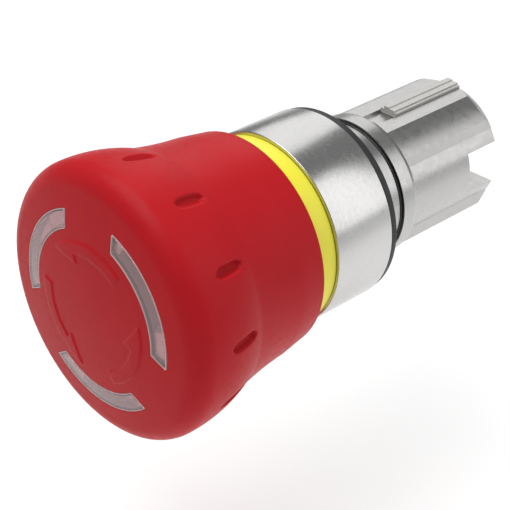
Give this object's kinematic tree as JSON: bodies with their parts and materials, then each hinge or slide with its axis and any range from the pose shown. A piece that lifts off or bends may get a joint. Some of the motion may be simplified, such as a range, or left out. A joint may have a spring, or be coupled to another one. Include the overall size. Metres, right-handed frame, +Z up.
{
  "type": "emergency stop button",
  "caption": "Twist-release emergency stop actuator: red mushroom cap with arc windows, yellow collar, satin metal bezel and a keyed snout for a round panel hole.",
  "frame": {"origin": "on the button's axis, in the plane where the gasket meets the panel's front face", "axes": "+Y along the button's axis from the cap to the snout, into the panel; +Z up, where the locating key stands; +X to the right for a person facing the button"},
  "size_m": [0.0402, 0.0724, 0.0402],
  "materials": {
    "cap_red": "satin moulded thermoplastic",
    "lens_clear": "clear moulded light guide",
    "reflector_silver": "silvered plastic",
    "hub_grey": "moulded",
    "screw_steel": "zinc plated",
    "spring_steel": "drawn wire",
    "plunger_white": "moulded",
    "sleeve_brass": "turned",
    "zinc_casting": "satin die casting",
    "key_cream": "moulded",
    "bezel_metal": "turned satin metal",
    "collar_yellow": "moulded signal yellow",
    "rubber_black": "moulded",
    "bush_white": "acetal",
    "pin_steel": "ground"
  },
  "bodies": {
    "housing": {"snout_body": "zinc_casting", "locating_key": "key_cream", "bezel_ring": "bezel_metal", "collar_ring": "collar_yellow", "panel_gasket": "rubber_black", "guide_bush": "bush_white", "shaft_wiper": "rubber_black", "neck_o_ring": "rubber_black", "bezel_o_ring": "rubber_black", "spring_seat": "bush_white", "rear_circlip": "spring_steel", "return_spring": "spring_steel", "latch_spring_left": "spring_steel", "latch_spring_right": "spring_steel"},
    "plunger": {"plunger_shaft": "plunger_white", "latch_sleeve": "sleeve_brass", "thrust_plate": "screw_steel", "cap_clip": "spring_steel", "plunger_foot": "plunger_white", "foot_screw": "screw_steel"},
    "cap": {"cap_shell": "cap_red", "lens_ring": "lens_clear", "reflector_ring": "reflector_silver", "cap_hub": "hub_grey", "hub_screws": "screw_steel", "twist_spring": "spring_steel"},
    "left_pin": {"latch_pin_left": "pin_steel"},
    "right_pin": {"latch_pin_right": "pin_steel"}
  },
  "joints": [
    {"name": "press", "type": "slide", "parent": "housing", "child": "plunger", "axis": [0, 1, 0], "range_m": [0, 0.004], "stiffness_N_per_m": 2000, "springref_m": -0.004, "deforming": ["return_spring"]},
    {"name": "twist", "type": "hinge", "parent": "plunger", "child": "cap", "pos_m": [0, 0, 0], "axis": [0, -1, 0], "range_deg": [0, 40], "stiffness_Nm_per_rad": 0.03, "springref_deg": -17.19, "deforming": ["twist_spring"]},
    {"name": "left_latch", "type": "slide", "parent": "housing", "child": "left_pin", "axis": [1, 0, 0], "range_m": [0, 0.0008], "deforming": ["latch_spring_left"]},
    {"name": "right_latch", "type": "slide", "parent": "housing", "child": "right_pin", "axis": [-1, 0, 0], "range_m": [0, 0.0008], "deforming": ["latch_spring_right"]}
  ],
  "couplings": [
    {"joint": "left_latch", "follows": "press", "ratio": 0.2},
    {"joint": "right_latch", "follows": "press", "ratio": 0.2}
  ]
}
